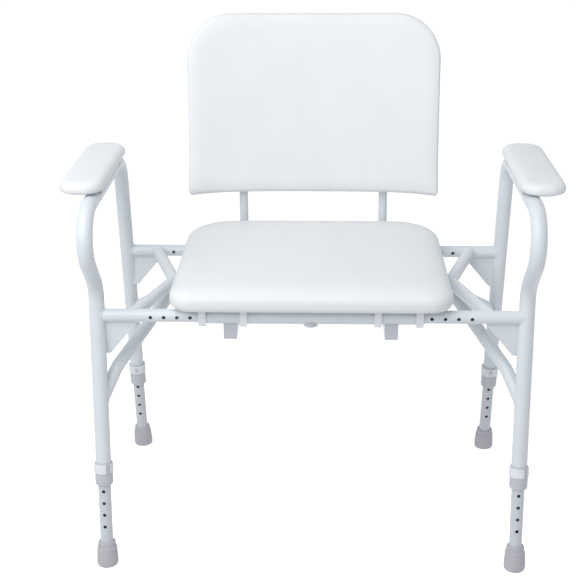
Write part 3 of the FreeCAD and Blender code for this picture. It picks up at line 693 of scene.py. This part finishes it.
def side_welds(side, sign):
    """Beads of one side frame: rail stubs, level braces, knee braces, gussets and mitres."""
    stub_approach = 35 * MM
    knee_approach = 42 * MM
    mesh = bmesh.new()
    leg = side + "_side_tube"
    leg_low, leg_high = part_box(leg)
    leg_x = (leg_low.x + leg_high.x) / 2
    stub_low, stub_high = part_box(side + "_rear_rail_stub")
    half_depth = (stub_low.y + stub_high.y) / 2
    rail_height = (stub_low.z + stub_high.z) / 2
    radius = (stub_high.z - stub_low.z) / 2
    brace_radius = radius - BRACE_BEAD_INSET
    apex = Vector((sign * BRACE_APEX, 0, rail_height))
    level_reach = Vector((sign * BRACE_ROOT - apex.x, half_depth, 0)).normalized()
    knee_reach = Vector((leg_x - apex.x, KNEE_FOOT_DEPTH, 0)).normalized()
    for end, fore in ENDS.items():
        stub = "%s_%s_rail_stub" % (side, end)
        landing = Vector((leg_x, fore * half_depth, rail_height))
        across = Vector((sign, 0, 0))
        tube_weld(mesh, leg, landing - across * APPROACH, across, radius)

        root = Vector((sign * BRACE_ROOT, landing.y, landing.z))
        level = Vector((level_reach.x, fore * level_reach.y, 0))
        tube_weld(mesh, stub, root - level * stub_approach, level, brace_radius)

        knee = Vector((leg_x, fore * KNEE_FOOT_DEPTH, KNEE_FOOT_HEIGHT))
        outward = Vector((knee_reach.x, fore * knee_reach.y, 0))
        down = (outward * KNEE_BEND_REACH - Vector((0, 0, KNEE_BEND_RISE))).normalized()
        tube_weld(mesh, leg, knee - down * knee_approach, down, radius)
        gusset_welds(mesh, leg, leg_x, stub, landing, radius)

    # the mitres' inner sides are ground flush, so that they pass the seat beam when slid right in
    limit = beam_limit(side)
    from_front = Vector((-level_reach.x, level_reach.y, 0))
    mitre_weld(mesh, apex, from_front, brace_radius, lambda point: abs(point.x) < limit)
    climb = -knee_reach * math.cos(KNEE_CLIMB) + Vector((0, 0, math.sin(KNEE_CLIMB)))
    mitre_weld(mesh, apex - Vector((0, 0, KNEE_APEX_DROP)), climb, brace_radius,
               lambda point: abs(point.x) < limit or (point - apex).length < radius)
    new_piece(side + "_weld_beads", finished_mesh(side + "_weld_beads", mesh),
              side + "_side_frame", "frame_paint")


def centre_welds():
    """Beads between the seat beams, the rails and the backrest sockets."""
    bead_radius = 1.4 * MM
    rail_seam = 0.4 * MM
    socket_seam = 0.5 * MM
    rail_bead_inset = 1 * MM
    socket_bead_inset = 1.2 * MM
    socket_approach = 60 * MM
    mesh = bmesh.new()
    for side in SIDES:
        low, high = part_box(side + "_seat_beam")
        for end in ENDS:
            rail = end + "_centre_rail"
            rail_low, rail_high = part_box(rail)
            depth = (rail_low.y + rail_high.y) / 2
            for way in (-1, 1):
                start = Vector((low.x + rail_bead_inset, depth - way * APPROACH, high.z + rail_seam))
                stop = Vector((high.x - rail_bead_inset, start.y, start.z))
                points = hits(rail, between_points(start, stop), Vector((0, way, 0)))
                bead(mesh, points, radius=bead_radius)
        for height in (low.z - socket_seam, high.z + socket_seam):
            start = Vector((low.x + socket_bead_inset, high.y - socket_approach, height))
            stop = Vector((high.x - socket_bead_inset, start.y, height))
            points = hits("backrest_sockets", between_points(start, stop), Vector((0, 1, 0)))
            bead(mesh, points, radius=bead_radius)
    new_piece("centre_weld_beads", finished_mesh("centre_weld_beads", mesh), "centre_frame", "frame_paint")


# ---- Stage ----------------------------------------------------------------------------------

def make_camera():
    """The photographed view: from in front, well above the seat, almost square on."""
    position = Vector((0.0234, -2.2494, 1.3685))
    pitch = math.radians(22.067)
    yaw = math.radians(-1.839)
    roll = math.radians(-0.346)
    data = bpy.data.cameras.new("camera")
    data.sensor_width = 36
    data.lens = 74.12
    data.shift_y = 0.0307
    camera = add_object("camera", data)
    forward = Vector((math.sin(yaw) * math.cos(pitch), math.cos(yaw) * math.cos(pitch), -math.sin(pitch)))
    right = forward.cross(Vector((0, 0, 1))).normalized()
    up = right.cross(forward)
    rolled_right = right * math.cos(roll) + up * math.sin(roll)
    rolled_up = up * math.cos(roll) - right * math.sin(roll)
    turn = Matrix((rolled_right, rolled_up, -forward)).transposed()
    camera.matrix_world = Matrix.Translation(position) @ turn.to_4x4()
    bpy.context.scene.camera = camera


def sun(name, direction, strength, angle):
    """A soft studio light from a direction, spread over an angle in degrees."""
    data = bpy.data.lights.new(name, "SUN")
    data.energy = strength
    data.angle = math.radians(angle)
    lamp = add_object(name, data)
    lamp.rotation_euler = Vector(direction).to_track_quat("Z", "Y").to_euler()


def softbox(name, direction, distance, strength, width):
    """A large soft light that faces the seat, so that the feet, further off, are dimmer."""
    data = bpy.data.lights.new(name, "AREA")
    data.shape = "DISK"
    data.size = width
    data.energy = strength * math.pi * distance ** 2
    lamp = add_object(name, data)
    away = Vector(direction).normalized()
    low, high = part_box("seat_pad")
    lamp.location = (low + high) / 2 + away * distance
    lamp.rotation_euler = away.to_track_quat("Z", "Y").to_euler()
    lamp.visible_camera = False


def sweep_mesh():
    """A round floor whose rim curves up into a wall, facing inwards."""
    floor_radius = 24
    rim_radius = 6
    wall_top = 25
    rim_steps = 8
    profile = [(floor_radius, 0)]
    for step in range(1, rim_steps + 1):
        angle = math.radians(90 * step / rim_steps)
        profile.append((floor_radius + rim_radius * math.sin(angle), rim_radius * (1 - math.cos(angle))))
    profile.append((floor_radius + rim_radius, wall_top))
    stage = bmesh.new()
    x_axis = Vector((1, 0, 0))
    y_axis = Vector((0, 1, 0))
    rings = [[stage.verts.new(point)
              for point in circle(Vector((0, 0, height)), x_axis, y_axis, radius, steps=64)]
             for radius, height in profile]
    for lower, upper in zip(rings, rings[1:]):
        for step in range(len(lower)):
            following = (step + 1) % len(lower)
            stage.faces.new((lower[step], upper[step], upper[following], lower[following]))
    stage.faces.new(rings[0])
    mesh = bpy.data.meshes.new("floor")
    stage.to_mesh(mesh)
    stage.free()
    mesh.shade_smooth()
    return mesh


def make_stage():
    """A white studio sweep all round the chair."""
    floor = add_object("floor", sweep_mesh())
    shader = Shader("pale_floor", 0.9, Specular_IOR_Level=0.1,
                    Emission_Color=(1, 1, 1, 1), Emission_Strength=0.5)
    shader.colour(shader.ramp(shader.noise(0.8, detail=2), 0.93, 0.95))
    floor.data.materials.append(shader.material)
    # the studio's lower half lights the underside instead, or the white floor would flatten it
    floor.visible_diffuse = False
    floor.visible_shadow = False


def make_studio():
    """A soft key light from the upper left over an even surround that is dimmer above than below."""
    world = bpy.data.worlds.new("studio")
    bpy.context.scene.world = world
    world.use_nodes = True
    nodes = world.node_tree.nodes
    links = world.node_tree.links
    direction = nodes.new("ShaderNodeSeparateXYZ")
    links.new(nodes.new("ShaderNodeTexCoord").outputs["Generated"], direction.inputs["Vector"])
    strength = nodes.new("ShaderNodeMapRange")
    for socket, value in {"From Min": -0.4, "From Max": 0.4, "To Min": 0.75, "To Max": 0.45}.items():
        strength.inputs[socket].default_value = value
    links.new(direction.outputs["Z"], strength.inputs["Value"])
    background = nodes["Background"]
    background.inputs["Color"].default_value = (0.97, 0.98, 1.0, 1)
    links.new(strength.outputs["Result"], background.inputs["Strength"])
    softbox("key", (-0.38, -0.55, 0.7), distance=2.2, strength=2.6, width=2.4)
    sun("top", (0.1, -0.1, 1.0), strength=0.3, angle=120)
    bpy.context.scene.view_settings.view_transform = "Standard"


# ---- Assembly -------------------------------------------------------------------------------

finish_nodes()
flat_pad("seat_cushion", "seat_pad", "seat", corners=(48 * MM, 92 * MM),
         rolls=(12 * MM, 32 * MM, 21 * MM), voxel=5 * MM, cap=6 * MM)
back = BackFrame()
back_pad(back)
seat_hem()
back_hem(back)
centre_welds()
for side in SIDES:
    flat_pad(side + "_arm_cushion", side + "_arm_pad", side + "_side_frame", corners=(37 * MM, 37 * MM),
             rolls=(5 * MM, 15 * MM, 13 * MM), voxel=4 * MM, cap=5 * MM)
for side, sign in SIDES.items():
    side_welds(side, sign)
make_camera()
make_stage()
make_studio()
